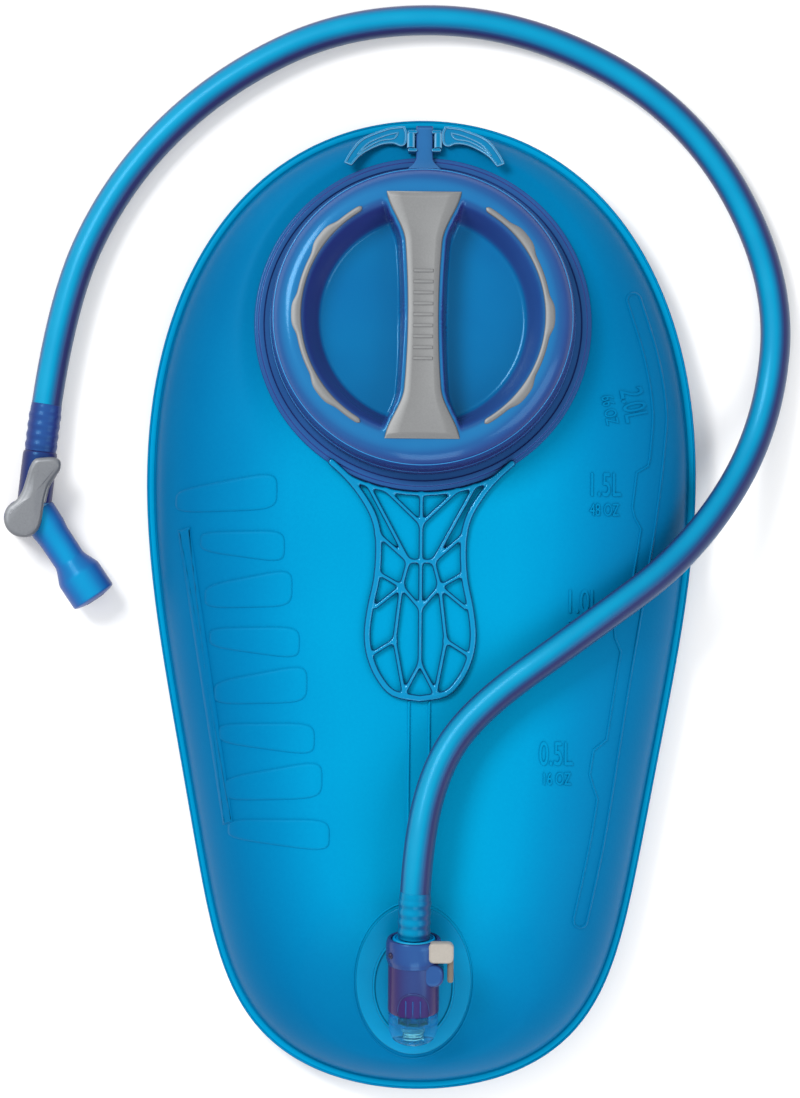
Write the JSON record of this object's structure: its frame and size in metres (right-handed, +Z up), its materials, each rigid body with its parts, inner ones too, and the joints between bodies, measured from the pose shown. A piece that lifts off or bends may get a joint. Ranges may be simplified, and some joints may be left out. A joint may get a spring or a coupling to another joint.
{
  "type": "hydration bladder",
  "caption": "Flat egg-shaped blue film water bladder with a bayonet fill cap, a quick-release exit port, and a drink tube that ends in a bite valve with a shut-off lever.",
  "frame": {"origin": "under the middle of the bladder, on the surface that its back lies on", "axes": "+Z up out of the front, where the cap is; +Y towards the fill cap; +X to the right seen from the front"},
  "size_m": [0.2725, 0.376, 0.0592],
  "materials": {
    "film": "soft translucent blue film, satin gloss",
    "cap_plastic": "translucent periwinkle-blue moulded plastic, glossy",
    "clear_plastic": "clear moulded plastic over blue film, glossy",
    "grey_grip": "light grey soft-touch overmould, matt",
    "tan_button": "warm light grey moulded plastic, matt",
    "lever_plastic": "cool grey moulded plastic, satin",
    "connector_plastic": "translucent purple-blue moulded plastic, glossy",
    "valve_plastic": "dark purple-blue moulded plastic, satin",
    "barb_plastic": "bright translucent blue moulded plastic, glossy",
    "tube": "translucent blue flexible tube, glossy",
    "bite_silicone": "translucent blue silicone, satin",
    "seal_rubber": "black rubber, matt",
    "spring_steel": "stainless spring wire"
  },
  "bodies": {
    "reservoir": {"front_film": "film", "back_film": "film", "center_baffle": "film", "fill_collar": "cap_plastic", "handle": "clear_plastic", "exit_port": "clear_plastic", "port_spring": "spring_steel"},
    "cap_carrier": {"cap_seal": "seal_rubber"},
    "cap": {"cap_shell": "cap_plastic", "cap_bridge_grip": "grey_grip", "cap_grip_left": "grey_grip", "cap_grip_right": "grey_grip"},
    "left_arm": {"dryer_arm_left": "clear_plastic"},
    "right_arm": {"dryer_arm_right": "clear_plastic"},
    "port_valve": {"port_poppet": "valve_plastic"},
    "drink_line": {"connector_housing": "connector_plastic", "connector_seal": "seal_rubber", "hose_barb": "barb_plastic", "button_spring": "spring_steel", "drink_tube": "tube", "valve_body": "valve_plastic", "mouthpiece": "bite_silicone"},
    "button": {"release_button": "tan_button"},
    "lever": {"shutoff_lever": "lever_plastic", "valve_plug": "valve_plastic", "plug_seals": "seal_rubber"}
  },
  "joints": [
    {"name": "cap_lift", "type": "slide", "parent": "reservoir", "child": "cap_carrier", "axis": [0, 0.1392, 0.9903], "range_m": [0, 0.06]},
    {"name": "cap_turn", "type": "hinge", "parent": "cap_carrier", "child": "cap", "pos_m": [0, 0.0966, 0.0319], "axis": [0, 0.1392, 0.9903], "range_deg": [0, 90]},
    {"name": "left_arm_hinge", "type": "hinge", "parent": "reservoir", "child": "left_arm", "pos_m": [-0.0047, 0.15545, 0.02687], "axis": [0, 0.866, -0.5], "range_deg": [0, 95]},
    {"name": "right_arm_hinge", "type": "hinge", "parent": "reservoir", "child": "right_arm", "pos_m": [0.0047, 0.15545, 0.02687], "axis": [0, -0.866, 0.5], "range_deg": [0, 95]},
    {"name": "port_valve_slide", "type": "slide", "parent": "reservoir", "child": "port_valve", "axis": [0, -0.9659, -0.2588], "range_m": [0, 0.0015], "stiffness_N_per_m": 150, "springref_m": -0.0005, "deforming": ["port_spring"]},
    {"name": "tube_release", "type": "slide", "parent": "reservoir", "child": "drink_line", "axis": [0, 0.9659, 0.2588], "range_m": [0, 0.025]},
    {"name": "button_press", "type": "slide", "parent": "drink_line", "child": "button", "axis": [-1, 0, 0], "range_m": [0, 0.001], "stiffness_N_per_m": 400, "springref_m": -0.0005, "deforming": ["button_spring"]},
    {"name": "lever_turn", "type": "hinge", "parent": "drink_line", "child": "lever", "pos_m": [-0.13786, 0.02878, 0.0084], "axis": [0, 0, 1], "range_deg": [0, 90]}
  ]
}
